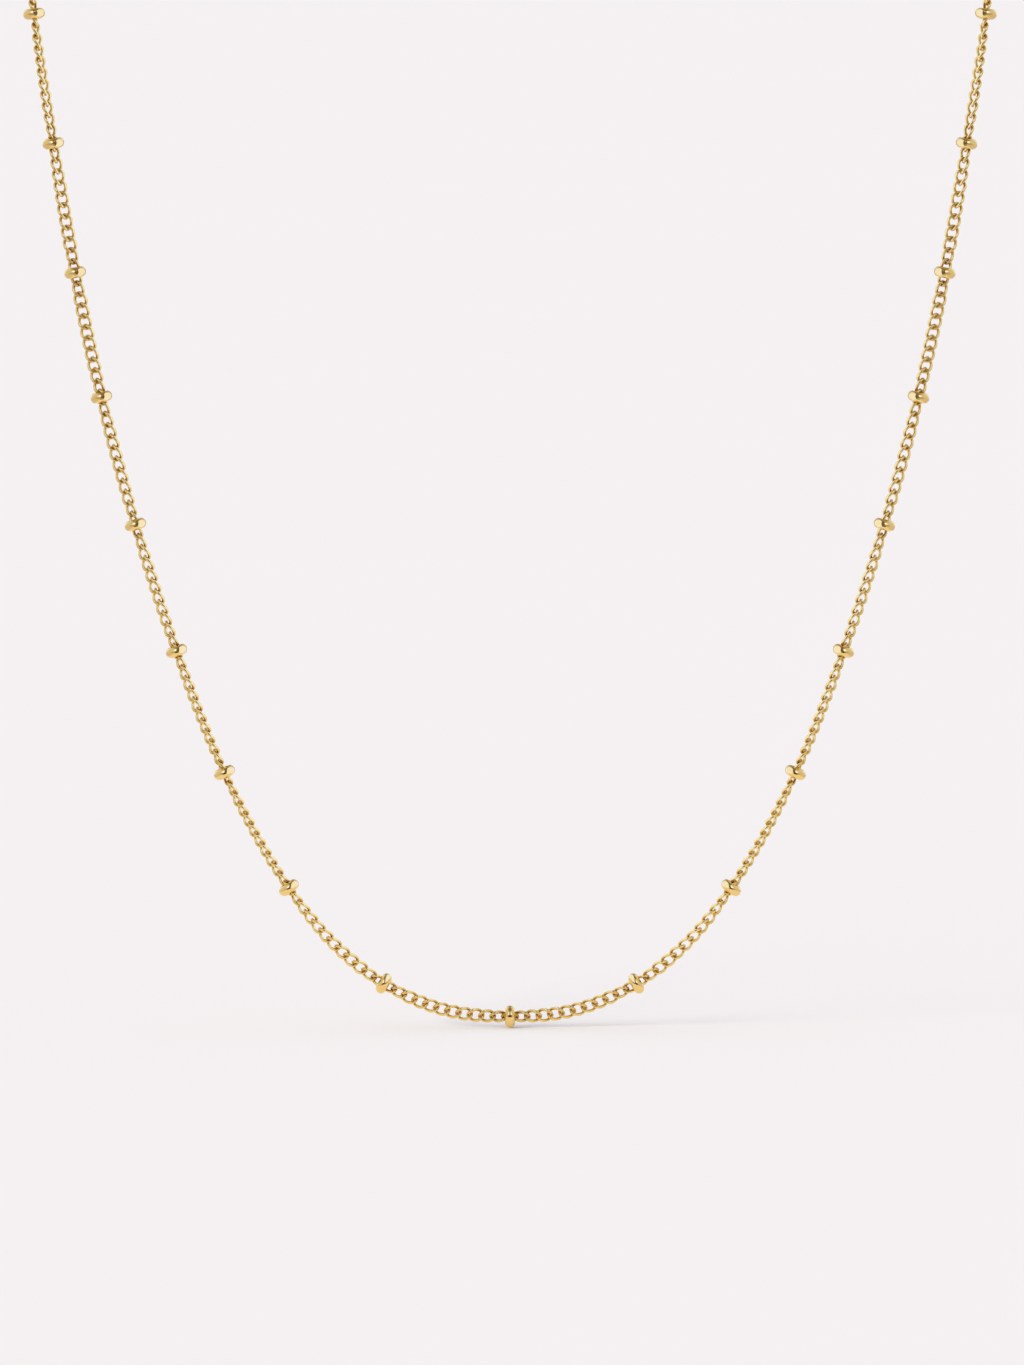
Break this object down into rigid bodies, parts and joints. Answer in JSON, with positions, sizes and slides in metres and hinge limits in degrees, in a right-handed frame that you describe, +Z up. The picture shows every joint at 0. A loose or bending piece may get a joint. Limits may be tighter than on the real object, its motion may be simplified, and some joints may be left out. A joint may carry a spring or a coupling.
{
  "type": "beaded chain necklace",
  "caption": "Fine gold curb chain necklace with small round rondelle beads at even steps, in its worn hanging shape, a whole loop closed by a ring clasp at the nape.",
  "frame": {"origin": "middle of the neck opening, at the height where the chain turns over the shoulders", "axes": "+X to the right as seen from the front, +Y from the throat to the nape, +Z up"},
  "size_m": [0.1104, 0.0534, 0.1475],
  "materials": {
    "chain_gold": "polished yellow gold plate on round wire links",
    "bead_gold": "mirror-polished yellow gold plate",
    "clasp_gold": "polished yellow gold plate"
  },
  "bodies": {
    "root": {"chain_left": "chain_gold", "chain_right": "chain_gold", "bead_middle": "bead_gold", "bead_left_1": "bead_gold", "bead_left_2": "bead_gold", "bead_left_3": "bead_gold", "bead_left_4": "bead_gold", "bead_left_5": "bead_gold", "bead_left_6": "bead_gold", "bead_left_7": "bead_gold", "bead_left_8": "bead_gold", "bead_left_9": "bead_gold", "bead_left_10": "bead_gold", "bead_left_11": "bead_gold", "bead_left_12": "bead_gold", "bead_left_13": "bead_gold", "bead_left_14": "bead_gold", "bead_right_1": "bead_gold", "bead_right_2": "bead_gold", "bead_right_3": "bead_gold", "bead_right_4": "bead_gold", "bead_right_5": "bead_gold", "bead_right_6": "bead_gold", "bead_right_7": "bead_gold", "bead_right_8": "bead_gold", "bead_right_9": "bead_gold", "bead_right_10": "bead_gold", "bead_right_11": "bead_gold", "bead_right_12": "bead_gold", "bead_right_13": "bead_gold", "bead_right_14": "bead_gold", "clasp": "clasp_gold"}
  },
  "joints": []
}
